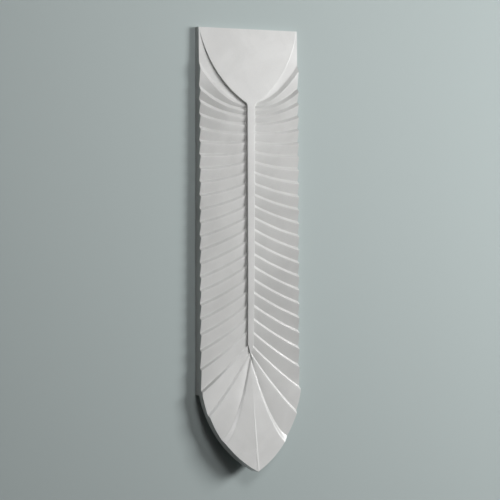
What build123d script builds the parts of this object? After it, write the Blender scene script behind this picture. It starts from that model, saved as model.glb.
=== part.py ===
"""Moulded composite wall panel shaped as a feather: one module of a lapped column.

The panel lies on its flat back, in millimetres: +X across, +Y towards the top edge, +Z out of
the wall. Places along the panel are given as distances below its top edge.
"""
import os
from math import sqrt

from build123d import *

# Outline, seen from the front
LENGTH = 600.0
WIDTH = 160.0
POINT_LENGTH = 105.0
POINT_SIDE_RADIUS = 153.0

# Lap joint: the point of the panel above lies on the smooth seat at the top of this one
SEAT_EDGE_HEIGHT = 8.0
SEAT_END_HEIGHT = 15.5
LAP_GAP = 0.5

# Shaft, the smooth rib that runs down from the seat
SHAFT_TOP_WIDTH = 13.4
SHAFT_LOW_WIDTH = 10.0
SHAFT_LOW = 428.0
SHAFT_END = 444.0
SHAFT_ROOT_FILLET = 6.0
SHAFT_FALL_START = 330.0
SHAFT_END_HEIGHT = 14.2

# Barbs on each side of the shaft, numbered from the seat down
BARB_COUNT = 23
FIRST_ROOT = 101.0
LAST_ROOT = 425.0
ROOT_CROWDING = 1.27
FIRST_EDGE = 47.0
SECOND_EDGE = 78.5
EDGE_PITCH = 18.25
EDGE_FAN = 26.5
EDGE_FAN_POWER = 12
BARB_BOW = 2.6
FIRST_BARB_BOW = 10.2
STEP_RUN = 3.4
FIRST_EXTRA_RUN = 4.6

# The two broad barbs that fan out into the point: the shoulder barb, then the lobe of the point
SHOULDER_ROOT = 437.5
SHOULDER_EDGE = 528.0
SHOULDER_BOW = 5.2
SHOULDER_EDGE_RUN = 5.5
LOBE_ROOT = 443.0
LOBE_EDGE = 545.0
LOBE_BOW = 49.0
LOBE_ROOT_RUN = 7.0
LOBE_EDGE_RUN = 13.0

# Heights of the barbs above the back face
BARB_HEIGHT = 12.2
ROOT_RISE = 0.3
ROOT_STEP = 1.2
BARB_STEP = 3.6
BARB_BULGE = 0.2
EDGE_LIFT = 4.0
LOBE_STEP = 3.6
POINT_HEIGHT = 33.0
CURL_ROOT = 436.0
CURL_EDGE = 472.0
CURL_BLEND = 40.0

# Keel, the fine ridge on the middle of the lobe
KEEL_START = 524.0
KEEL_WIDTH = 5.0
KEEL_HEIGHT = 0.8

# Back face: a lattice of glue grooves round a shallow blank pocket
LATTICE_PITCH = 48.0
LATTICE_COLUMNS = 3
LATTICE_TOP_MARGIN = 11.0
LATTICE_END_MARGIN = 5.5
GROOVE_WIDTH = 3.0
GROOVE_DEPTH = 1.5
PAD_CORNER = 2.5
POCKET_LENGTH = 168.0
POCKET_WIDTH = 41.6
POCKET_CENTRE = 299.5
POCKET_CORNER = 5.0
POCKET_DEPTH = 1.0
POCKET_MARGIN = 4.0

STATIONS = (0.0, 0.25, 0.5, 0.75, 1.0)
OVERRUN = 6.0

TOP = LENGTH / 2
HALF = WIDTH / 2
SHOULDER = LENGTH - POINT_LENGTH
SEAT_SLOPE = (SEAT_END_HEIGHT - SEAT_EDGE_HEIGHT) / POINT_LENGTH
CURL_SLOPE = (POINT_HEIGHT - KEEL_HEIGHT - BARB_HEIGHT - ROOT_RISE) / (LENGTH - CURL_ROOT)


def y_at(below_top):
    """Y of a place given as a distance below the top edge."""
    return TOP - below_top


def curl(across, below_top):
    """Rise of the face towards the point, eased in along a line that fans out with the barbs."""
    start = CURL_ROOT + (CURL_EDGE - CURL_ROOT) * across - CURL_BLEND / 2
    run = max(0.0, below_top - start)
    if run < CURL_BLEND:
        return CURL_SLOPE * run**2 / (2 * CURL_BLEND)
    return CURL_SLOPE * (run - CURL_BLEND / 2)


def crest_height(across, below_top):
    """Height of the barbs' crests; across runs from 0 at the middle to 1 at the side."""
    level = BARB_HEIGHT + ROOT_RISE * (1 - across)
    return level + EDGE_LIFT * across * below_top / LENGTH + curl(across, below_top)


def barb_lines():
    """Each step between barbs as (root, edge, bow, run at the root, run at the edge, step at the edge)."""
    lines = []
    for number in range(BARB_COUNT):
        share = number / (BARB_COUNT - 1)
        root = FIRST_ROOT + (LAST_ROOT - FIRST_ROOT) * share**ROOT_CROWDING
        if number == 0:
            edge = FIRST_EDGE
        else:
            fan = EDGE_FAN * ((number - 1) / (BARB_COUNT - 2)) ** EDGE_FAN_POWER
            edge = SECOND_EDGE + EDGE_PITCH * (number - 1) + fan
        bow = BARB_BOW + FIRST_BARB_BOW / 2**number
        edge_run = STEP_RUN + FIRST_EXTRA_RUN / 2**number
        lines.append((root, edge, bow, STEP_RUN, edge_run, BARB_STEP))
    lines.append((SHOULDER_ROOT, SHOULDER_EDGE, SHOULDER_BOW, STEP_RUN, SHOULDER_EDGE_RUN, BARB_STEP))
    lines.append((LOBE_ROOT, LOBE_EDGE, LOBE_BOW, LOBE_ROOT_RUN, LOBE_EDGE_RUN, LOBE_STEP))
    return lines


def barb_section(across):
    """Saw-tooth section along the panel at one station between the middle and the side."""

    def point(below_top, height):
        return Vector(HALF * across, y_at(below_top), height)

    end = LENGTH + OVERRUN
    last = point(0, SEAT_EDGE_HEIGHT)
    edges = [Line(point(0, 0), last)]
    for root, edge, bow, root_run, edge_run, step in barb_lines():
        place = root + (edge - root) * across + 4 * bow * across * (1 - across)
        drop = ROOT_STEP + (step - ROOT_STEP) * across
        foot = point(place, crest_height(across, place) - drop)
        place += root_run + (edge_run - root_run) * across
        crest = point(place, crest_height(across, place))
        if len(edges) == 1:
            edges.append(Line(last, foot))
        else:
            edges.append(Bezier(last, (last + foot) / 2 + Vector(0, 0, 2 * BARB_BULGE), foot))
        edges.append(Line(foot, crest))
        last = crest
    tip = point(end, crest_height(across, end))
    edges += [Line(last, tip), Line(tip, point(end, 0)), Line(point(end, 0), point(0, 0))]
    return Wire(edges)


def barbs():
    """The barbs of both sides, lofted from the middle of the panel out to its side."""
    right = Solid.make_loft([barb_section(across) for across in STATIONS])
    return right + mirror(right, Plane.YZ)


def point_shape(shoulder_y):
    """Plan of the pointed end, from a straight line between its shoulders down to the point."""
    left = (-HALF, shoulder_y)
    right = (HALF, shoulder_y)
    tip = (0, shoulder_y - POINT_LENGTH)
    sides = [
        RadiusArc(right, tip, POINT_SIDE_RADIUS),
        RadiusArc(tip, left, POINT_SIDE_RADIUS),
        Line(left, right),
    ]
    return make_face(sides)


def corner_offcuts():
    """What is cut away on both sides of the point."""
    end = y_at(LENGTH + 2 * OVERRUN)
    blank = make_face(Polyline(
        (-HALF - OVERRUN, y_at(SHOULDER)), (HALF + OVERRUN, y_at(SHOULDER)),
        (HALF + OVERRUN, end), (-HALF - OVERRUN, end), close=True,
    ))
    return extrude(blank - point_shape(y_at(SHOULDER)), POINT_HEIGHT + 2 * OVERRUN)


def slope_wedge(start_below_top, run, height, side):
    """A full-width wedge above (side 1) or below (side -1) the slope of the lap joint."""
    far = start_below_top + run
    limit = POINT_HEIGHT + 2 * OVERRUN if side > 0 else -OVERRUN
    outline = Polyline(
        (0, y_at(start_below_top), height),
        (0, y_at(far), height + SEAT_SLOPE * run),
        (0, y_at(far), limit),
        (0, y_at(start_below_top), limit),
        close=True,
    )
    return extrude(make_face(outline), WIDTH / 2 + OVERRUN, dir=(1, 0, 0), both=True)


def seat_and_shaft():
    """The smooth seat and the shaft below it, which sinks towards its lower end."""
    half_top = SHAFT_TOP_WIDTH / 2
    half_low = SHAFT_LOW_WIDTH / 2
    inside = y_at(POINT_LENGTH / 2)
    shaft = make_face(Polyline(
        (-half_top, inside), (half_top, inside), (half_low, y_at(SHAFT_LOW)),
        (0, y_at(SHAFT_END)), (-half_low, y_at(SHAFT_LOW)), close=True,
    ))
    plan = point_shape(TOP) + shaft
    forks = [v for v in plan.vertices() if y_at(SHAFT_LOW) + 1 < v.Y < TOP - 1]
    rib = extrude(fillet(forks, SHAFT_ROOT_FILLET), SEAT_END_HEIGHT)
    fall = make_face(Polyline(
        (0, y_at(SHAFT_FALL_START), SEAT_END_HEIGHT), (0, y_at(SHAFT_END), SHAFT_END_HEIGHT),
        (0, y_at(SHAFT_END), SEAT_END_HEIGHT + OVERRUN), close=True,
    ))
    rib = rib - extrude(fall, SHAFT_TOP_WIDTH, dir=(1, 0, 0), both=True)
    return rib - slope_wedge(0, POINT_LENGTH, SEAT_EDGE_HEIGHT, 1)


def seat_room():
    """The space over the seat, which the barbs beside it stay out of."""
    over = extrude(point_shape(TOP), POINT_HEIGHT + OVERRUN)
    return over & slope_wedge(0, POINT_LENGTH, SEAT_EDGE_HEIGHT, 1)


def keel():
    """The fine ridge on the lobe, which grows from nothing to its full size at the point."""
    end = LENGTH + OVERRUN
    base = crest_height(0, end)
    section = make_face(Polyline(
        (-KEEL_WIDTH, y_at(end), base - KEEL_HEIGHT), (0, y_at(end), base + KEEL_HEIGHT),
        (KEEL_WIDTH, y_at(end), base - KEEL_HEIGHT), close=True,
    ))
    start = Vertex(0, y_at(KEEL_START), crest_height(0, KEEL_START))
    return loft([section, start])


def pocket_plan(margin):
    """Plan of the pocket on the back, grown by a margin."""
    plan = RectangleRounded(POCKET_WIDTH + 2 * margin, POCKET_LENGTH + 2 * margin, POCKET_CORNER + margin)
    return Pos(0, y_at(POCKET_CENTRE)) * plan


def lattice():
    """Glue grooves between square pads that stand on their corners."""
    side = LATTICE_PITCH / sqrt(2) - GROOVE_WIDTH
    pad = Rectangle(side, side)
    pad = chamfer(pad.vertices(), PAD_CORNER)
    top = y_at(LATTICE_TOP_MARGIN)
    end = y_at(SHOULDER - LATTICE_END_MARGIN)
    window = Pos(0, (top + end) / 2) * Rectangle(LATTICE_COLUMNS * LATTICE_PITCH + GROOVE_WIDTH, top - end)
    pads = []
    for row in range(int((top - end) / (LATTICE_PITCH / 2)) + 2):
        columns = LATTICE_COLUMNS + 1 - row % 2
        for column in range(columns):
            x = (column - (columns - 1) / 2) * LATTICE_PITCH
            pads.append(Pos(x, top - row * LATTICE_PITCH / 2) * Rot(0, 0, 45) * pad)
    return extrude(window - pads - pocket_plan(POCKET_MARGIN), GROOVE_DEPTH)


def main():
    os.makedirs("parts", exist_ok=True)
    body = barbs()
    body = body - seat_room()
    body = body + seat_and_shaft() + keel()
    body = body - corner_offcuts()
    body = body - slope_wedge(SHOULDER, POINT_LENGTH + OVERRUN, SEAT_EDGE_HEIGHT + LAP_GAP, -1)
    body = body - lattice() - extrude(pocket_plan(0), POCKET_DEPTH)
    export_step(body, "parts/feather_panel.step")


if __name__ == "__main__":
    main()
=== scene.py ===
"""Looks of a moulded composite wall panel shaped as a feather, laid out as a Blender add-on.

Places along the panel are given as distances below its top edge. The panel lies on its back.
"""
from math import radians, sqrt, tau

import bmesh
import bpy
from bpy.props import FloatProperty, FloatVectorProperty, IntProperty, PointerProperty
from mathutils import Matrix, Vector


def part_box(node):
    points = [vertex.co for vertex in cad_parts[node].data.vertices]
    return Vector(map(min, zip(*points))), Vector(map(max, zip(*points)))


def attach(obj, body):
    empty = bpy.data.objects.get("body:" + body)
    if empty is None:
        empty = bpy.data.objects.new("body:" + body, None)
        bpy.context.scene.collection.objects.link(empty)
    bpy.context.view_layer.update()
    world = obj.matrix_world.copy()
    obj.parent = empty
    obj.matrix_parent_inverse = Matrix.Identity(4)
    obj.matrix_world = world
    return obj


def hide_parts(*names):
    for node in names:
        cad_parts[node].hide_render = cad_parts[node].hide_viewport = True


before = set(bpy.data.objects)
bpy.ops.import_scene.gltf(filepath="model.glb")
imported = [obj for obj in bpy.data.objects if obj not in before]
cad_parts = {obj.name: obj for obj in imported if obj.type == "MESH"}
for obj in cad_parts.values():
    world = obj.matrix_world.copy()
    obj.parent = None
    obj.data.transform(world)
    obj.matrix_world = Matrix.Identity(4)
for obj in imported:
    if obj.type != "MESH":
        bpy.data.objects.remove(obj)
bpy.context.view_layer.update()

bl_info = {
    "name": "Feather Wall Panel",
    "version": (1, 0, 0),
    "blender": (4, 5, 0),
    "location": "View3D > Sidebar > Feather Panel",
    "description": "Builds a moulded feather wall panel with its finish, its light and its camera",
    "category": "Object",
}

MM = 0.001
LOWEST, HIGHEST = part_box("feather_panel")

# Mesh of the face: rows between two step lines, and columns from side to side
STRIP_ROWS = 8
FACE_COLUMNS = 91
# Rows crowd to the crests and feet, columns crowd to the shaft
ROW_CROWDING = 0.78
COLUMN_CROWDING = 1.7
# Share of a strip over which each crest and each foot is rounded
CORNER_SHARE = 0.125
# Steps along curved outlines
SEAT_STEPS = 40
FILLET_STEPS = 6
POINT_STEPS = 48
CORNER_STEPS = 8
PAD_CORNER_STEPS = 3
EDGE_STEPS = 3
# Halvings that find where the seat runs into the shaft
FORK_HALVINGS = 40
# How far the root fillet reaches along the seat, as a share of its radius
FILLET_REACH = 0.35

# How far shapes run past the panel before they are trimmed
OVERRUN = 6 * MM
SIDE_OVERRUN = 8 * MM
CUT_OVERRUN = 12 * MM
# Lowest and highest level of the tools that trim the outline
CUT_LOW = -5 * MM
CUT_HIGH = 60 * MM
# Levels of the tools that cut the back: each starts below the one that it is taken from
GROOVE_LOW = -1 * MM
PAD_LOW = -2 * MM
BAND_LOW = -3 * MM
PAD_HEIGHT = 6 * MM
BAND_HIGH = 6 * MM
# Underside of seat and shaft, hidden in the barbs, and the level above which their edges are rounded
SEAT_UNDERSIDE = 3 * MM
ROUNDED_ABOVE = 4 * MM

# Edges that turn by more than these are rounded, or shaded as sharp
ROUNDED_TURN = radians(60)
SHARP_TURN = radians(32)
# Points closer than the first are merged, and slivers thinner than the second are dissolved
SAME_POINT = 0.002 * MM
SLIVER = 0.001 * MM
# An edge with less run in plan than this stands upright and is not rounded
UPRIGHT_RUN = 0.01 * MM
# Keeps a count that should be whole from rounding down
WHOLE = 0.0001


def size(name, description, millimetres):
    """A length that a user may change, given in millimetres and kept in metres."""
    return FloatProperty(
        name=name, description=description, default=millimetres * MM,
        precision=4, unit="LENGTH", subtype="DISTANCE",
    )


def power(name, description, watts):
    """Power of a lamp that a user may change."""
    return FloatProperty(name=name, description=description, default=watts, unit="POWER")


def tint(name, description, hex_colour):
    """A colour that a user may change, given as an sRGB hex value."""
    return FloatVectorProperty(
        name=name, description=description, default=to_linear(hex_colour),
        size=3, min=0, max=1, subtype="COLOR",
    )


def to_linear(hex_colour):
    """Linear red, green and blue of an sRGB hex colour."""
    channels = [int(hex_colour[start:start + 2], 16) / 255 for start in (1, 3, 5)]
    return tuple(c / 12.92 if c <= 0.04045 else ((c + 0.055) / 1.055) ** 2.4 for c in channels)


class FeatherFaceSizes(bpy.types.PropertyGroup):
    """Sizes of the face: outline, lap seat, shaft, barbs and point."""

    length: size("Length", "From the top edge to the point", (HIGHEST.y - LOWEST.y) / MM)
    width: size("Width", "From side to side", (HIGHEST.x - LOWEST.x) / MM)
    point_length: size("Point length", "From the shoulders to the point", 105)
    point_radius: size("Point radius", "Radius of the curved sides of the point", 153)
    seat_edge: size("Seat edge height", "Height of the lap seat at the top edge", 8)
    seat_end: size("Seat end height", "Height of the lap seat where it runs into the shaft", 15.5)
    lap_gap: size("Lap gap", "Clearance between the point and the seat below it", 0.5)
    shaft_top: size("Shaft top width", "Width of the shaft at the seat", 13.4)
    shaft_low: size("Shaft low width", "Width of the shaft above its end", 10)
    shaft_low_place: size("Shaft taper", "Where the shaft starts to close", 428)
    shaft_end: size("Shaft end", "Where the shaft ends", 444)
    shaft_fillet: size("Shaft root fillet", "Fillet where the shaft leaves the seat", 6)
    shaft_fall: size("Shaft fall", "Where the top of the shaft starts to sink", 330)
    shaft_end_height: size("Shaft end height", "Height of the shaft at its end", 14.2)
    edge_round: size("Edge round", "Rounding of the edges of seat and shaft", 0.9)
    barb_count: IntProperty(name="Barbs", description="Narrow barbs on each side", default=23, min=3)
    first_root: size("First root", "Root of the first barb", 101)
    last_root: size("Last root", "Root of the last narrow barb", 425)
    root_crowding: FloatProperty(
        name="Root crowding", description="How the roots crowd to the seat", default=1.27
    )
    first_edge: size("First edge", "Outer end of the first barb", 47)
    second_edge: size("Second edge", "Outer end of the second barb", 78.5)
    edge_pitch: size("Edge pitch", "Spacing of the outer ends", 18.25)
    edge_fan: size("Edge fan", "How far the last barbs fan out", 26.5)
    edge_fan_power: FloatProperty(
        name="Edge fan power", description="How late the fan starts", default=12
    )
    bow: size("Bow", "Bow of each barb along its length", 2.6)
    first_bow: size("First bow", "Extra bow of the first barb, halved for each barb after it", 10.2)
    step_run: size("Step run", "Run of the slope up to each barb", 3.4)
    first_run: size("First run", "Extra run of the first slope at the side, halved for each after it", 4.6)
    shoulder_root: size("Shoulder root", "Root of the shoulder barb", 437.5)
    shoulder_edge: size("Shoulder edge", "Outer end of the shoulder barb", 528)
    shoulder_bow: size("Shoulder bow", "Bow of the shoulder barb", 5.2)
    shoulder_run: size("Shoulder run", "Run of the slope of the shoulder barb at the side", 5.5)
    lobe_root: size("Lobe root", "Root of the lobe of the point", 443)
    lobe_edge: size("Lobe edge", "Outer end of the lobe's slope", 545)
    lobe_bow: size("Lobe bow", "Bow of the lobe's slope", 49)
    lobe_root_run: size("Lobe root run", "Run of the lobe's slope at its root", 7)
    lobe_edge_run: size("Lobe edge run", "Run of the lobe's slope at the side", 13)
    barb_height: size("Barb height", "Height of the crests at the top of the sides", 12.2)
    root_rise: size("Root rise", "How much higher the crests are at the shaft", 0.3)
    root_step: size("Root step", "Height of each step at the middle", 1.2)
    edge_step: size("Edge step", "Height of each step at the side", 3.6)
    lobe_step: size("Lobe step", "Height of the lobe's step at the side", 3.6)
    bulge: size("Bulge", "How far each barb swells between its edges", 0.2)
    edge_lift: size("Edge lift", "Rise of the sides towards the lower end", 4)
    point_height: size("Point height", "Height of the point", 33)
    curl_root: size("Curl root", "Where the middle starts to rise to the point", 436)
    curl_edge: size("Curl edge", "Where the sides start to rise to the point", 472)
    curl_blend: size("Curl blend", "Length over which the rise eases in", 40)
    keel_start: size("Keel start", "Where the ridge of the lobe starts", 524)
    keel_width: size("Keel width", "Width of the ridge at the point", 5)
    keel_height: size("Keel height", "Height of the ridge at the point", 0.8)


class FeatherBackSizes(bpy.types.PropertyGroup):
    """Sizes of the back: glue lattice and blank pocket."""

    pitch: size("Lattice pitch", "Width of a pad across its corners", 48)
    columns: IntProperty(name="Columns", description="Pads side by side", default=3, min=1)
    top_margin: size("Top margin", "Plain band at the top edge", 11)
    end_margin: size("End margin", "Plain band at the shoulders", 5.5)
    groove_width: size("Groove width", "Width of the glue grooves", 3)
    groove_depth: size("Groove depth", "Depth of the glue grooves", 1.5)
    pad_corner: size("Pad corner", "Rounding of the corners of the pads", 3)
    pocket_length: size("Pocket length", "Length of the blank pocket", 168)
    pocket_width: size("Pocket width", "Width of the blank pocket", 41.6)
    pocket_place: size("Pocket place", "Middle of the pocket", 299.5)
    pocket_corner: size("Pocket corner", "Corner radius of the pocket", 5)
    pocket_depth: size("Pocket depth", "Depth of the pocket", 1)
    pocket_margin: size("Pocket margin", "Plain band round the pocket", 4)


class FeatherFinish(bpy.types.PropertyGroup):
    """Colours of the composite and its grain."""

    pale: tint("Pale grey", "Colour of the moulded composite", "#D2D2D0")
    deep: tint("Deep grey", "Colour of its faint cloudy flow marks", "#C7C7C5")
    grain: size("Grain", "Spacing of the moulded grain, drawn coarser than the real one", 1.6)
    cloud: size("Cloud", "Size of the flow marks", 70)


class FeatherStage(bpy.types.PropertyGroup):
    """Floor, light and camera."""

    floor: tint("Floor", "Colour of the floor", "#B2BDBC")
    key_power: power("Key", "Power of the key light", 50)
    top_power: power("Top", "Power of the overhead light", 3.5)
    card_power: power("Card", "Power of the card that gives the sheen", 15)
    crest_power: power("Crest", "Power of the card that lights the crests", 12)
    lobe_power: power("Lobe", "Power of the card over the lobe", 6)
    ridge_power: power("Ridge", "Power of the card over the ridge", 5)
    lens: FloatProperty(name="Lens", description="Focal length", default=177, unit="CAMERA")


def add_node(tree, kind, inputs, **settings):
    """Adds one node with its settings, and links or fills its inputs."""
    node = tree.nodes.new(kind)
    for name, value in settings.items():
        setattr(node, name, value)
    for key, value in inputs.items():
        if isinstance(value, bpy.types.NodeSocket):
            tree.links.new(value, node.inputs[key])
        else:
            node.inputs[key].default_value = value
    return node


def new_tree(name, inputs, outputs):
    """An empty geometry tree with named inputs and outputs."""
    tree = bpy.data.node_groups.new(name, "GeometryNodeTree")
    for label, kind in inputs:
        tree.interface.new_socket(label, in_out="INPUT", socket_type="NodeSocket" + kind)
    for label, kind in outputs:
        tree.interface.new_socket(label, in_out="OUTPUT", socket_type="NodeSocket" + kind)
    return tree


def step_line_tree():
    """Where a step line runs, and how far it lies below the crests, at a share of the way across."""
    tree = new_tree(
        "Step line",
        [("Lines", "Geometry"), ("Line", "Float"), ("Across", "Float")],
        [("Place", "Float"), ("Drop", "Float"), ("Bulge", "Float")],
    )
    given = add_node(tree, "NodeGroupInput", {}).outputs
    parts = []
    for name in ("place", "drop"):
        kept = add_node(tree, "GeometryNodeInputNamedAttribute", {"Name": name}, data_type="FLOAT_VECTOR")
        found = add_node(
            tree, "GeometryNodeSampleIndex",
            {"Geometry": given["Lines"], "Value": kept.outputs[0], "Index": given["Line"]},
            data_type="FLOAT_VECTOR", clamp=True,
        )
        parts.append(add_node(tree, "ShaderNodeSeparateXYZ", {0: found.outputs[0]}).outputs)
    (root, edge, bow), (root_drop, edge_drop, bulge) = parts
    across = given["Across"]
    straight = add_node(tree, "ShaderNodeMix", {0: across, 2: root, 3: edge}).outputs[0]
    inward = add_node(tree, "ShaderNodeMath", {0: 1.0, 1: across}, operation="SUBTRACT").outputs[0]
    swell = add_node(tree, "ShaderNodeMath", {0: across, 1: inward}, operation="MULTIPLY").outputs[0]
    place = add_node(tree, "ShaderNodeMath", {0: swell, 1: bow, 2: straight}, operation="MULTIPLY_ADD")
    drop = add_node(tree, "ShaderNodeMix", {0: across, 2: root_drop, 3: edge_drop})
    add_node(tree, "NodeGroupOutput", {"Place": place.outputs[0], "Drop": drop.outputs[0], "Bulge": bulge})
    return tree


def saw_tooth_tree(step_line):
    """A point of the saw-tooth section: a whole step is a line, a part of one lies between two lines."""
    tree = new_tree(
        "Saw-tooth section",
        [("Lines", "Geometry"), ("Step", "Float"), ("Across", "Float")],
        [("Place", "Float"), ("Drop", "Float")],
    )
    given = add_node(tree, "NodeGroupInput", {}).outputs
    safe = add_node(tree, "ShaderNodeMath", {0: given["Step"], 1: WHOLE}, operation="ADD").outputs[0]
    safe = add_node(tree, "ShaderNodeMath", {0: safe, 1: 0.0}, operation="MAXIMUM").outputs[0]
    line = add_node(tree, "ShaderNodeMath", {0: safe}, operation="FLOOR").outputs[0]
    part = add_node(tree, "ShaderNodeMath", {0: safe, 1: line}, operation="SUBTRACT").outputs[0]
    turn = add_node(tree, "ShaderNodeMath", {0: part, 1: tau}, operation="MULTIPLY").outputs[0]
    wave = add_node(tree, "ShaderNodeMath", {0: turn}, operation="SINE").outputs[0]
    part = add_node(
        tree, "ShaderNodeMath", {0: wave, 1: -ROW_CROWDING / tau, 2: part}, operation="MULTIPLY_ADD"
    ).outputs[0]
    after = add_node(tree, "ShaderNodeMath", {0: line, 1: 1.0}, operation="ADD").outputs[0]
    here, there = [
        add_node(
            tree, "GeometryNodeGroup",
            {"Lines": given["Lines"], "Line": which, "Across": given["Across"]}, node_tree=step_line,
        ).outputs
        for which in (line, after)
    ]
    place = add_node(tree, "ShaderNodeMix", {0: part, 2: here["Place"], 3: there["Place"]})
    drop = add_node(tree, "ShaderNodeMix", {0: part, 2: here["Drop"], 3: there["Drop"]}).outputs[0]
    rest = add_node(tree, "ShaderNodeMath", {0: 1.0, 1: part}, operation="SUBTRACT").outputs[0]
    swell = add_node(tree, "ShaderNodeMath", {0: part, 1: rest}, operation="MULTIPLY").outputs[0]
    swell = add_node(tree, "ShaderNodeMath", {0: swell, 1: here["Bulge"]}, operation="MULTIPLY").outputs[0]
    drop = add_node(tree, "ShaderNodeMath", {0: drop, 1: swell}, operation="SUBTRACT")
    add_node(tree, "NodeGroupOutput", {"Place": place.outputs[0], "Drop": drop.outputs[0]})
    return tree


def barb_face_tree():
    """The stepped face: a sheet whose rows follow the step lines and whose columns run along the panel."""
    sizes = [
        "Half Width", "Length", "Barb Height", "Root Rise", "Edge Lift",
        "Curl Root", "Curl Edge", "Curl Blend", "Curl Slope",
        "Keel Start", "Keel End", "Keel Slope", "Keel Height",
        "Corner Round", "Column Crowding",
    ]
    tree = new_tree(
        "Barb face",
        [("Lines", "Geometry"), ("Last Line", "Int"), ("Rows", "Int"), ("Columns", "Int")]
        + [(name, "Float") for name in sizes] + [("Finish", "Material")],
        [("Face", "Geometry")],
    )
    given = add_node(tree, "NodeGroupInput", {}).outputs
    sheet = add_node(
        tree, "GeometryNodeMeshGrid",
        {"Size X": 2.0, "Size Y": 1.0, "Vertices X": given["Columns"], "Vertices Y": given["Rows"]},
    )
    spot = add_node(tree, "GeometryNodeInputPosition", {})
    share, along, _ = add_node(tree, "ShaderNodeSeparateXYZ", {0: spot.outputs[0]}).outputs
    side = add_node(tree, "ShaderNodeMath", {0: share}, operation="SIGN").outputs[0]
    across = add_node(tree, "ShaderNodeMath", {0: share}, operation="ABSOLUTE").outputs[0]
    across = add_node(
        tree, "ShaderNodeMath", {0: across, 1: given["Column Crowding"]}, operation="POWER"
    ).outputs[0]
    along = add_node(tree, "ShaderNodeMath", {0: along, 1: 0.5}, operation="ADD").outputs[0]
    step = add_node(
        tree, "ShaderNodeMath", {0: along, 1: given["Last Line"]}, operation="MULTIPLY"
    ).outputs[0]

    # Averaging with the places a little before and after rounds each crest and each foot
    section = saw_tooth_tree(step_line_tree())
    before = add_node(tree, "ShaderNodeMath", {0: step, 1: given["Corner Round"]}, operation="SUBTRACT")
    after = add_node(tree, "ShaderNodeMath", {0: step, 1: given["Corner Round"]}, operation="ADD")
    spots = [
        add_node(
            tree, "GeometryNodeGroup",
            {"Lines": given["Lines"], "Step": which, "Across": across}, node_tree=section,
        ).outputs
        for which in (before.outputs[0], step, after.outputs[0])
    ]
    rounded = []
    for name in ("Place", "Drop"):
        ends = add_node(tree, "ShaderNodeMath", {0: spots[0][name], 1: spots[2][name]}, operation="ADD")
        total = add_node(
            tree, "ShaderNodeMath", {0: spots[1][name], 1: 2.0, 2: ends.outputs[0]}, operation="MULTIPLY_ADD"
        )
        mean = add_node(tree, "ShaderNodeMath", {0: total.outputs[0], 1: 0.25}, operation="MULTIPLY")
        rounded.append(mean.outputs[0])
    place, drop = rounded

    # Height of the crests: level at the root, lifted at the sides, rising to the point
    lift = add_node(tree, "ShaderNodeMath", {0: place, 1: given["Length"]}, operation="DIVIDE").outputs[0]
    lift = add_node(tree, "ShaderNodeMath", {0: lift, 1: across}, operation="MULTIPLY").outputs[0]
    height = add_node(
        tree, "ShaderNodeMath", {0: lift, 1: given["Edge Lift"], 2: given["Barb Height"]},
        operation="MULTIPLY_ADD",
    ).outputs[0]
    inward = add_node(tree, "ShaderNodeMath", {0: 1.0, 1: across}, operation="SUBTRACT").outputs[0]
    height = add_node(
        tree, "ShaderNodeMath", {0: inward, 1: given["Root Rise"], 2: height}, operation="MULTIPLY_ADD"
    ).outputs[0]
    start = add_node(
        tree, "ShaderNodeMix", {0: across, 2: given["Curl Root"], 3: given["Curl Edge"]}
    ).outputs[0]
    start = add_node(
        tree, "ShaderNodeMath", {0: given["Curl Blend"], 1: -0.5, 2: start}, operation="MULTIPLY_ADD"
    ).outputs[0]
    run = add_node(tree, "ShaderNodeMath", {0: place, 1: start}, operation="SUBTRACT").outputs[0]
    run = add_node(tree, "ShaderNodeMath", {0: run, 1: 0.0}, operation="MAXIMUM").outputs[0]
    eased = add_node(
        tree, "ShaderNodeMath", {0: run, 1: given["Curl Blend"]}, operation="MINIMUM"
    ).outputs[0]
    share_in = add_node(
        tree, "ShaderNodeMath", {0: eased, 1: given["Curl Blend"]}, operation="DIVIDE"
    ).outputs[0]
    share_in = add_node(tree, "ShaderNodeMath", {0: share_in, 1: 0.5}, operation="MULTIPLY").outputs[0]
    curve = add_node(
        tree, "ShaderNodeMath", {0: eased, 1: share_in, 2: run}, operation="MULTIPLY_ADD"
    ).outputs[0]
    curve = add_node(tree, "ShaderNodeMath", {0: curve, 1: eased}, operation="SUBTRACT").outputs[0]
    height = add_node(
        tree, "ShaderNodeMath", {0: curve, 1: given["Curl Slope"], 2: height}, operation="MULTIPLY_ADD"
    ).outputs[0]
    height = add_node(tree, "ShaderNodeMath", {0: height, 1: drop}, operation="SUBTRACT").outputs[0]

    # Keel of the lobe
    ridge = add_node(
        tree, "ShaderNodeMapRange",
        {
            "Value": place, "From Min": given["Keel Start"], "From Max": given["Keel End"],
            "To Max": given["Keel Height"],
        },
    ).outputs[0]
    out = add_node(
        tree, "ShaderNodeMath", {0: across, 1: given["Half Width"]}, operation="MULTIPLY"
    ).outputs[0]
    slope = add_node(
        tree, "ShaderNodeMath", {0: out, 1: given["Keel Slope"]}, operation="MULTIPLY"
    ).outputs[0]
    ridge = add_node(tree, "ShaderNodeMath", {0: ridge, 1: slope}, operation="SUBTRACT").outputs[0]
    ridge = add_node(tree, "ShaderNodeMath", {0: ridge, 1: 0.0}, operation="MAXIMUM").outputs[0]
    height = add_node(tree, "ShaderNodeMath", {0: height, 1: ridge}, operation="ADD").outputs[0]

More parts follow.
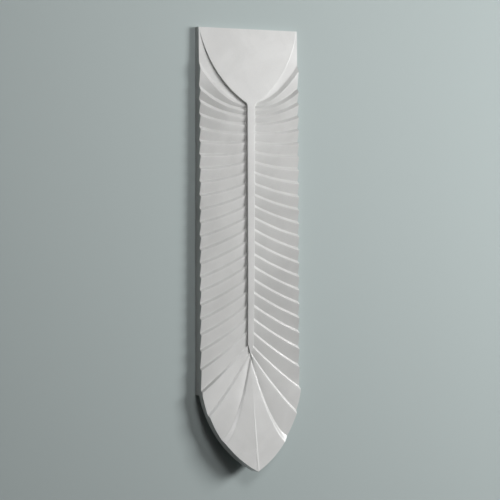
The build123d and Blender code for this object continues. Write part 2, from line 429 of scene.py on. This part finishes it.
    out = add_node(tree, "ShaderNodeMath", {0: out, 1: side}, operation="MULTIPLY").outputs[0]
    down = add_node(tree, "ShaderNodeMath", {0: given["Length"], 1: 0.5}, operation="MULTIPLY").outputs[0]
    down = add_node(tree, "ShaderNodeMath", {0: down, 1: place}, operation="SUBTRACT").outputs[0]
    target = add_node(tree, "ShaderNodeCombineXYZ", {0: out, 1: down, 2: height})
    shaped = add_node(
        tree, "GeometryNodeSetPosition", {"Geometry": sheet.outputs[0], "Position": target.outputs[0]}
    )
    real = add_node(tree, "GeometryNodeRealizeInstances", {0: shaped.outputs[0]})
    dressed = add_node(
        tree, "GeometryNodeSetMaterial", {"Geometry": real.outputs[0], "Material": given["Finish"]}
    )
    add_node(tree, "NodeGroupOutput", {0: dressed.outputs[0]})
    return tree


def glue_pads_tree():
    """Square pads that stand on their corners, in rows that are set over by half a pad."""
    sizes = ["Pitch", "Groove Width", "Corner", "Height", "Top"]
    tree = new_tree(
        "Glue pads",
        [("Start", "Geometry"), ("Rows", "Int"), ("Columns", "Int")]
        + [(name, "Float") for name in sizes] + [("Finish", "Material")],
        [("Pads", "Geometry")],
    )
    given = add_node(tree, "NodeGroupInput", {}).outputs
    places = add_node(
        tree, "GeometryNodeMeshGrid",
        {"Size X": 1.0, "Size Y": 1.0, "Vertices X": given["Columns"], "Vertices Y": given["Rows"]},
    )
    index = add_node(tree, "GeometryNodeInputIndex", {}).outputs[0]
    column = add_node(tree, "ShaderNodeMath", {0: index, 1: given["Rows"]}, operation="DIVIDE").outputs[0]
    column = add_node(tree, "ShaderNodeMath", {0: column, 1: WHOLE}, operation="ADD").outputs[0]
    column = add_node(tree, "ShaderNodeMath", {0: column}, operation="FLOOR").outputs[0]
    row = add_node(
        tree, "ShaderNodeMath", {0: index, 1: given["Rows"]}, operation="FLOORED_MODULO"
    ).outputs[0]
    odd = add_node(tree, "ShaderNodeMath", {0: row, 1: 2.0}, operation="FLOORED_MODULO").outputs[0]
    column = add_node(
        tree, "ShaderNodeMath", {0: odd, 1: 0.5, 2: column}, operation="MULTIPLY_ADD"
    ).outputs[0]
    middle = add_node(
        tree, "ShaderNodeMath", {0: given["Columns"], 1: 1.0}, operation="SUBTRACT"
    ).outputs[0]
    column = add_node(
        tree, "ShaderNodeMath", {0: middle, 1: -0.5, 2: column}, operation="MULTIPLY_ADD"
    ).outputs[0]
    x = add_node(tree, "ShaderNodeMath", {0: column, 1: given["Pitch"]}, operation="MULTIPLY").outputs[0]
    y = add_node(tree, "ShaderNodeMath", {0: row, 1: given["Pitch"]}, operation="MULTIPLY").outputs[0]
    y = add_node(
        tree, "ShaderNodeMath", {0: y, 1: -0.5, 2: given["Top"]}, operation="MULTIPLY_ADD"
    ).outputs[0]
    target = add_node(tree, "ShaderNodeCombineXYZ", {0: x, 1: y, 2: PAD_LOW})
    places = add_node(
        tree, "GeometryNodeSetPosition", {"Geometry": places.outputs[0], "Position": target.outputs[0]}
    )

    edge = add_node(
        tree, "ShaderNodeMath", {0: given["Pitch"], 1: sqrt(0.5)}, operation="MULTIPLY"
    ).outputs[0]
    edge = add_node(
        tree, "ShaderNodeMath", {0: edge, 1: given["Groove Width"]}, operation="SUBTRACT"
    ).outputs[0]
    square = add_node(tree, "GeometryNodeCurvePrimitiveQuadrilateral", {"Width": edge, "Height": edge})
    soft = add_node(
        tree, "GeometryNodeFilletCurve",
        {"Curve": square.outputs[0], "Radius": given["Corner"], "Count": PAD_CORNER_STEPS}, mode="POLY",
    )
    flat = add_node(tree, "GeometryNodeFillCurve", {"Curve": soft.outputs[0]}, mode="NGONS")
    up = add_node(tree, "ShaderNodeCombineXYZ", {2: given["Height"]})
    tall = add_node(
        tree, "GeometryNodeExtrudeMesh",
        {"Mesh": flat.outputs[0], "Offset": up.outputs[0], "Individual": False}, mode="FACES",
    )
    under = add_node(tree, "GeometryNodeFlipFaces", {"Mesh": flat.outputs[0]})
    both = add_node(tree, "GeometryNodeJoinGeometry", {0: tall.outputs[0]})
    tree.links.new(under.outputs[0], both.inputs[0])
    pad = add_node(tree, "GeometryNodeMergeByDistance", {"Geometry": both.outputs[0]})
    pads = add_node(
        tree, "GeometryNodeInstanceOnPoints",
        {"Points": places.outputs[0], "Instance": pad.outputs[0], "Rotation": (0.0, 0.0, radians(45))},
    )
    real = add_node(tree, "GeometryNodeRealizeInstances", {0: pads.outputs[0]})
    dressed = add_node(
        tree, "GeometryNodeSetMaterial", {"Geometry": real.outputs[0], "Material": given["Finish"]}
    )
    add_node(tree, "NodeGroupOutput", {0: dressed.outputs[0]})
    return tree


def place_object(name, mesh):
    """A new object at the origin, in the scene."""
    piece = bpy.data.objects.new(name, mesh)
    bpy.context.scene.collection.objects.link(piece)
    return piece


def apply_modifiers(piece):
    """Turns what the modifiers give into the piece's own plain mesh."""
    bpy.context.view_layer.update()
    graph = bpy.context.evaluated_depsgraph_get()
    mesh = bpy.data.meshes.new_from_object(piece.evaluated_get(graph))
    piece.modifiers.clear()
    piece.data = mesh
    return piece


def grow(piece, tree, values):
    """Runs a geometry tree on a piece with the given inputs."""
    change = piece.modifiers.new(tree.name, "NODES")
    change.node_group = tree
    for item in tree.interface.items_tree:
        if item.item_type == "SOCKET" and item.in_out == "INPUT" and item.name in values:
            change[item.identifier] = values[item.name]
    return apply_modifiers(piece)


def carve(piece, tool, operation):
    """Joins or cuts a piece with a tool shape, which is then thrown away."""
    change = piece.modifiers.new("carve", "BOOLEAN")
    change.operation = operation
    change.object = tool
    change.solver = "EXACT"
    apply_modifiers(piece)
    bpy.data.objects.remove(tool)
    return piece


def prism(name, outline, low, high):
    """A closed block over a plan outline."""
    shape = bmesh.new()
    base = shape.faces.new([shape.verts.new((x, y, low)) for x, y in outline])
    raised = bmesh.ops.extrude_face_region(shape, geom=[base])["geom"]
    for vert in [part for part in raised if isinstance(part, bmesh.types.BMVert)]:
        vert.co.z = high
    bmesh.ops.recalc_face_normals(shape, faces=shape.faces)
    mesh = bpy.data.meshes.new(name)
    shape.to_mesh(mesh)
    shape.free()
    return place_object(name, mesh)


def rounded_rectangle(width, length, corner, middle):
    """Plan of a rectangle with round corners, about a place on the middle line."""
    outline = []
    for turn in range(4):
        for step in range(CORNER_STEPS + 1):
            swing = Matrix.Rotation(radians(90 * turn + 90 * step / CORNER_STEPS), 2) @ Vector((corner, 0))
            x = (width / 2 - corner) * (1 if turn in (0, 3) else -1) + swing.x
            y = (length / 2 - corner) * (1 if turn in (0, 1) else -1) + swing.y
            outline.append((x, middle + y))
    return outline


def point_half_width(face, below_shoulder):
    """Half the width of the point, and of the lap seat, at a distance below its shoulders."""
    half = face.width / 2
    chord = sqrt(half**2 + face.point_length**2)
    reach = sqrt(face.point_radius**2 - chord**2 / 4)
    centre_x = half / 2 - reach * face.point_length / chord
    centre_y = face.point_length / 2 - reach * half / chord
    return centre_x + sqrt(max(0.0, face.point_radius**2 - (below_shoulder - centre_y) ** 2))


def step_lines(face):
    """Foot and crest of every step as (root, edge, bow, drop at the root, drop at the edge, bulge)."""
    start_drop = face.barb_height - face.seat_edge
    lines = [(-OVERRUN, -OVERRUN, 0, start_drop + face.root_rise, start_drop, 0)]
    steps = []
    for number in range(face.barb_count):
        share = number / (face.barb_count - 1)
        root = face.first_root + (face.last_root - face.first_root) * share**face.root_crowding
        if number == 0:
            edge = face.first_edge
        else:
            fan = face.edge_fan * ((number - 1) / (face.barb_count - 2)) ** face.edge_fan_power
            edge = face.second_edge + face.edge_pitch * (number - 1) + fan
        bow = face.bow + face.first_bow / 2**number
        edge_run = face.step_run + face.first_run / 2**number
        steps.append((root, edge, bow, face.step_run, edge_run, face.edge_step))
    steps.append((
        face.shoulder_root, face.shoulder_edge, face.shoulder_bow,
        face.step_run, face.shoulder_run, face.edge_step,
    ))
    steps.append((
        face.lobe_root, face.lobe_edge, face.lobe_bow,
        face.lobe_root_run, face.lobe_edge_run, face.lobe_step,
    ))
    for root, edge, bow, root_run, edge_run, step in steps:
        lines.append((root, edge, 4 * bow, face.root_step, step, 0))
        lines.append((root + root_run, edge + edge_run, 4 * bow, 0, 0, 4 * face.bulge))
    end = face.length + SIDE_OVERRUN
    # The lobe itself has no bulge
    lines[-1] = lines[-1][:5] + (0,)
    lines.append((end, end, 0, 0, 0, 0))
    return lines


def barb_body(face, finish):
    """The stepped face as a closed body that stands on the back plane."""
    lines = step_lines(face)
    mesh = bpy.data.meshes.new("step_lines")
    mesh.from_pydata([(0, 0, 0)] * len(lines), [], [])
    for name, first in (("place", 0), ("drop", 3)):
        kept = mesh.attributes.new(name, "FLOAT_VECTOR", "POINT")
        kept.data.foreach_set("vector", [value for line in lines for value in line[first:first + 3]])
    rise = face.point_height - face.keel_height - face.barb_height - face.root_rise
    piece = grow(place_object("feather_panel_moulding", mesh), barb_face_tree(), {
        "Last Line": len(lines) - 1,
        "Rows": (len(lines) - 1) * STRIP_ROWS + 1,
        "Columns": FACE_COLUMNS,
        "Half Width": face.width / 2,
        "Length": face.length,
        "Barb Height": face.barb_height,
        "Root Rise": face.root_rise,
        "Edge Lift": face.edge_lift,
        "Curl Root": face.curl_root,
        "Curl Edge": face.curl_edge,
        "Curl Blend": face.curl_blend,
        "Curl Slope": rise / (face.length - face.curl_root),
        "Keel Start": face.keel_start,
        "Keel End": face.length + OVERRUN,
        "Keel Slope": 2 * face.keel_height / face.keel_width,
        "Keel Height": face.keel_height,
        "Corner Round": CORNER_SHARE,
        "Column Crowding": COLUMN_CROWDING,
        "Finish": finish,
    })
    shape = bmesh.new()
    shape.from_mesh(piece.data)
    rim = [edge for edge in shape.edges if edge.is_boundary]
    lowered = bmesh.ops.extrude_edge_only(shape, edges=rim)["geom"]
    for vert in [part for part in lowered if isinstance(part, bmesh.types.BMVert)]:
        vert.co.z = 0
    bmesh.ops.edgeloop_fill(shape, edges=[edge for edge in shape.edges if edge.is_boundary])
    bmesh.ops.recalc_face_normals(shape, faces=shape.faces)
    shape.to_mesh(piece.data)
    shape.free()
    return piece


def seat_and_shaft(face):
    """The smooth lap seat and the shaft below it, with softly rounded edges."""
    top = face.length / 2
    half_top = face.shaft_top / 2
    taper = (half_top - face.shaft_low / 2) / (face.shaft_low_place - face.point_length / 2)

    def shaft_half(place):
        return half_top - taper * (place - face.point_length / 2)

    low, high = 0.0, face.point_length
    for _ in range(FORK_HALVINGS):
        fork = (low + high) / 2
        if point_half_width(face, fork) > shaft_half(fork):
            low = fork
        else:
            high = fork
    side = [(face.width / 2, -OVERRUN)]
    bend = FILLET_REACH * face.shaft_fillet
    places = [(fork - bend) * step / SEAT_STEPS for step in range(SEAT_STEPS + 1)]
    curve = [(point_half_width(face, place), place) for place in places]
    side += curve
    start, middle = Vector(curve[-1]), Vector((shaft_half(fork), fork))
    leave = Vector((shaft_half(fork + 2 * bend), fork + 2 * bend))
    for step in range(1, FILLET_STEPS + 1):
        share = step / FILLET_STEPS
        side.append(tuple(start * (1 - share) ** 2 + middle * 2 * share * (1 - share) + leave * share**2))
    side.append((shaft_half(face.shaft_low_place), face.shaft_low_place))
    plan = side + [(0.0, face.shaft_end)] + [(-x, place) for x, place in reversed(side)]

    shape = bmesh.new()
    shape.faces.new([shape.verts.new((x, top - place, 0)) for x, place in plan])
    for place in (face.point_length, face.shaft_fall):
        bmesh.ops.bisect_plane(
            shape, geom=shape.verts[:] + shape.edges[:] + shape.faces[:],
            plane_co=(0, top - place, 0), plane_no=(0, 1, 0),
        )
    raised = bmesh.ops.extrude_face_region(shape, geom=shape.faces[:])["geom"]
    seat_slope = (face.seat_end - face.seat_edge) / face.point_length
    fall_slope = (face.seat_end - face.shaft_end_height) / (face.shaft_end - face.shaft_fall)
    for vert in [part for part in raised if isinstance(part, bmesh.types.BMVert)]:
        place = top - vert.co.y
        vert.co.z = face.seat_end - seat_slope * max(0.0, face.point_length - place)
        vert.co.z -= fall_slope * max(0.0, place - face.shaft_fall)
    for vert in shape.verts:
        if vert.co.z == 0:
            vert.co.z = SEAT_UNDERSIDE
    bmesh.ops.recalc_face_normals(shape, faces=shape.faces)
    rims = []
    for edge in shape.edges:
        run = (edge.verts[0].co - edge.verts[1].co).to_2d().length
        high = min(vert.co.z for vert in edge.verts) > ROUNDED_ABOVE
        if edge.calc_face_angle(0) > ROUNDED_TURN and high and run > UPRIGHT_RUN:
            rims.append(edge)
    bmesh.ops.bevel(
        shape, geom=rims, offset=face.edge_round, offset_type="OFFSET",
        segments=EDGE_STEPS, profile=0.5, affect="EDGES",
    )
    mesh = bpy.data.meshes.new("seat_and_shaft")
    shape.to_mesh(mesh)
    shape.free()
    return place_object("seat_and_shaft", mesh)


def trim_outline(piece, face):
    """Cuts the sides of the point, the top edge and the lap recess under the point."""
    top = face.length / 2
    shoulder = face.length - face.point_length
    reach = face.width / 2 + SIDE_OVERRUN
    arc = [face.point_length * step / POINT_STEPS for step in range(POINT_STEPS)]
    right = [(point_half_width(face, below), top - shoulder - below) for below in arc]
    left = [(-x, y) for x, y in reversed(right)]
    end = -top - CUT_OVERRUN
    outline = [(reach, top - shoulder)] + right + [(0, -top)] + left
    outline += [(-reach, top - shoulder), (-reach, end), (reach, end)]
    carve(piece, prism("offcut", outline, CUT_LOW, CUT_HIGH), "DIFFERENCE")
    above = top + CUT_OVERRUN
    edge = [(reach, top), (reach, above), (-reach, above), (-reach, top)]
    carve(piece, prism("top_offcut", edge, CUT_LOW, CUT_HIGH), "DIFFERENCE")
    recess = [(reach, top - shoulder), (-reach, top - shoulder), (-reach, end), (reach, end)]
    wedge = prism("recess", recess, CUT_LOW, face.seat_edge + face.lap_gap)
    slope = (face.seat_end - face.seat_edge) / face.point_length
    for vert in wedge.data.vertices:
        if vert.co.z > 0:
            vert.co.z += slope * (top - shoulder - vert.co.y)
    carve(piece, wedge, "DIFFERENCE")


def groove_back(piece, face, back, finish):
    """Cuts the glue grooves and the blank pocket into the back."""
    top = face.length / 2 - back.top_margin
    end = face.point_length - face.length / 2 + back.end_margin
    half = (back.columns * back.pitch + back.groove_width) / 2
    window = [(half, end), (half, top), (-half, top), (-half, end)]
    grooves = prism("grooves", window, GROOVE_LOW, back.groove_depth)
    rows = int((top - end) / (back.pitch / 2)) + 2
    pads = grow(place_object("pads", bpy.data.meshes.new("pads")), glue_pads_tree(), {
        "Rows": rows,
        "Columns": back.columns + 1,
        "Pitch": back.pitch,
        "Groove Width": back.groove_width,
        "Corner": back.pad_corner,
        "Height": PAD_HEIGHT,
        "Top": top,
        "Finish": finish,
    })
    carve(grooves, pads, "DIFFERENCE")
    middle = face.length / 2 - back.pocket_place
    margin = back.pocket_margin
    band = rounded_rectangle(
        back.pocket_width + 2 * margin, back.pocket_length + 2 * margin, back.pocket_corner + margin, middle
    )
    carve(grooves, prism("band", band, BAND_LOW, BAND_HIGH), "DIFFERENCE")
    carve(piece, grooves, "DIFFERENCE")
    pocket = rounded_rectangle(back.pocket_width, back.pocket_length, back.pocket_corner, middle)
    carve(piece, prism("pocket", pocket, GROOVE_LOW, back.pocket_depth), "DIFFERENCE")


def moulded_composite(finish):
    """Filled polymer composite, pressed in a smooth mould: a pale neutral grey with a soft satin sheen.

    The eye sees faint cloudy flow marks, a fine even grain and slightly uneven gloss. The real grain is a
    tenth of a millimetre or less. It is drawn much coarser so that it shows.
    """
    material = bpy.data.materials.new("moulded_polymer_composite")
    material.use_nodes = True
    tree = material.node_tree
    shader = tree.nodes["Principled BSDF"]
    shader.inputs["IOR"].default_value = 1.48
    shader.inputs["Coat Weight"].default_value = 0.5
    shader.inputs["Coat Roughness"].default_value = 0.2
    where = add_node(tree, "ShaderNodeTexCoord", {}).outputs["Object"]
    cloud = add_node(
        tree, "ShaderNodeTexNoise",
        {"Vector": where, "Scale": 1 / finish.cloud, "Detail": 3.0, "Roughness": 0.55, "Distortion": 0.6},
    ).outputs[0]
    speck = add_node(
        tree, "ShaderNodeTexNoise",
        {"Vector": where, "Scale": 1 / finish.grain, "Detail": 2.0, "Roughness": 0.6},
    ).outputs[0]
    tone = add_node(
        tree, "ShaderNodeMath", {0: speck, 1: 0.25, 2: cloud}, operation="MULTIPLY_ADD"
    ).outputs[0]
    tone = add_node(
        tree, "ShaderNodeMapRange", {"Value": tone, "From Min": 0.4, "From Max": 0.85},
        interpolation_type="SMOOTHSTEP",
    ).outputs[0]
    colour = add_node(
        tree, "ShaderNodeMix", {0: tone, 6: (*finish.pale, 1.0), 7: (*finish.deep, 1.0)}, data_type="RGBA"
    ).outputs[2]
    gloss = add_node(
        tree, "ShaderNodeMapRange",
        {"Value": cloud, "From Min": 0.3, "From Max": 0.7, "To Min": 0.48, "To Max": 0.54},
    ).outputs[0]
    relief = add_node(
        tree, "ShaderNodeBump", {"Strength": 0.12, "Distance": 0.1 * MM, "Height": speck}
    ).outputs[0]
    tree.links.new(colour, shader.inputs["Base Color"])
    tree.links.new(gloss, shader.inputs["Roughness"])
    tree.links.new(relief, shader.inputs["Normal"])
    return material


class FEATHER_OT_panel(bpy.types.Operator):
    """Builds the moulded panel in one closed piece"""

    bl_idname = "feather.panel"
    bl_label = "Moulded Panel"

    def execute(self, context):
        face = context.scene.feather_face
        back = context.scene.feather_back
        finish = moulded_composite(context.scene.feather_finish)
        piece = barb_body(face, finish)
        carve(piece, seat_and_shaft(face), "UNION")
        trim_outline(piece, face)
        groove_back(piece, face, back, finish)
        shape = bmesh.new()
        shape.from_mesh(piece.data)
        bmesh.ops.remove_doubles(shape, verts=shape.verts, dist=SAME_POINT)
        bmesh.ops.dissolve_degenerate(shape, edges=shape.edges, dist=SLIVER)
        if any(len(edge.link_faces) != 2 for edge in shape.edges):
            raise RuntimeError("The moulded panel is not a closed body")
        for edge in shape.edges:
            edge.smooth = edge.calc_face_angle(0) < SHARP_TURN
        for polygon in shape.faces:
            polygon.smooth = True
            polygon.material_index = 0
        shape.to_mesh(piece.data)
        shape.free()
        piece.data.materials.clear()
        piece.data.materials.append(finish)
        even = piece.modifiers.new("even_shading", "WEIGHTED_NORMAL")
        even.keep_sharp = True
        apply_modifiers(piece)
        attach(piece, "root")
        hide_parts("feather_panel")
        return {"FINISHED"}


class FEATHER_OT_stage(bpy.types.Operator):
    """Lays the floor and sets the studio light and the camera"""

    bl_idname = "feather.stage"
    bl_label = "Stage"

    def execute(self, context):
        stage = context.scene.feather_stage
        floor = prism("floor", [(4, 4), (-4, 4), (-4, -4), (4, -4)], -20 * MM, -0.2 * MM)
        # Matt painted plaster: an even pale surface without gloss
        plaster = bpy.data.materials.new("matt_plaster_floor")
        plaster.use_nodes = True
        shader = plaster.node_tree.nodes["Principled BSDF"]
        shader.inputs["Base Color"].default_value = (*stage.floor, 1)
        shader.inputs["Roughness"].default_value = 0.9
        floor.data.materials.append(plaster)

        # Name, place, aim, size, power and whether it lights all, in metres. The cards show only in the sheen
        lamps = [
            ("key", (1.85, 0.42, 1.44), (0, -0.1, 0), (0.8, 1.0), stage.key_power, True),
            ("overhead", (-0.05, 0.5, 1.1), (0, 0, 0), (0.4, 0.4), stage.top_power, True),
            ("crest_card", (1.7, 0.45, 1.1), (0, -0.1, 0), (0.6, 0.4), stage.crest_power, False),
            ("sheen_card", (-0.48, 1.14, 1.04), (0, -0.2, 0), (0.9, 0.9), stage.card_power, False),
            ("lobe_card", (-0.52, 0.63, 1.45), (-0.35, -0.3, 0), (0.6, 0.2), stage.lobe_power, False),
            ("ridge_card", (0.2, -0.05, 1.75), (0, -0.1, 0), (0.3, 0.14), stage.ridge_power, False),
        ]
        for name, spot, aim, (width, depth), power, lights_all in lamps:
            lamp = bpy.data.lights.new(name, "AREA")
            lamp.shape = "RECTANGLE"
            lamp.size = width
            lamp.size_y = depth
            lamp.energy = power
            holder = place_object(name, lamp)
            holder.location = spot
            holder.visible_diffuse = lights_all
            holder.rotation_euler = (Vector(spot) - Vector(aim)).to_track_quat("Z", "Y").to_euler()
        world = bpy.data.worlds.new("studio")
        world.use_nodes = True
        world.node_tree.nodes["Background"].inputs["Color"].default_value = (1, 1, 1, 1)
        world.node_tree.nodes["Background"].inputs["Strength"].default_value = 0.04
        context.scene.world = world

        lens = bpy.data.cameras.new("camera")
        lens.lens = stage.lens
        lens.sensor_width = 36
        camera = place_object("camera", lens)
        eye = Vector((-1.849, 0.048, 2.795))
        aim = Vector((0, 0, 0.012))
        back = (eye - aim).normalized()
        right = Vector((0, 1, 0)).cross(back).normalized()
        turn = Matrix((right, back.cross(right), back)).transposed().to_4x4()
        camera.matrix_world = Matrix.Translation(eye) @ turn
        context.scene.camera = camera
        context.scene.view_settings.view_transform = "Standard"
        return {"FINISHED"}


class VIEW3D_PT_feather(bpy.types.Panel):
    """Lists the operators and the values that they read"""

    bl_idname = "VIEW3D_PT_feather"
    bl_label = "Feather Panel"
    bl_space_type = "VIEW_3D"
    bl_region_type = "UI"
    bl_category = "Feather Panel"

    def draw(self, context):
        for operator in (FEATHER_OT_panel, FEATHER_OT_stage):
            self.layout.operator(operator.bl_idname)
        for group in GROUPS:
            values = getattr(context.scene, group)
            box = self.layout.box()
            for name in values.__annotations__:
                box.prop(values, name)


GROUPS = {
    "feather_face": FeatherFaceSizes,
    "feather_back": FeatherBackSizes,
    "feather_finish": FeatherFinish,
    "feather_stage": FeatherStage,
}
CLASSES = (*GROUPS.values(), FEATHER_OT_panel, FEATHER_OT_stage, VIEW3D_PT_feather)


def register():
    for entry in CLASSES:
        bpy.utils.register_class(entry)
    for name, group in GROUPS.items():
        setattr(bpy.types.Scene, name, PointerProperty(type=group))


def unregister():
    for name in GROUPS:
        delattr(bpy.types.Scene, name)
    for entry in reversed(CLASSES):
        bpy.utils.unregister_class(entry)


def main():
    register()
    bpy.ops.feather.panel()
    bpy.ops.feather.stage()


if __name__ == "__main__":
    main()
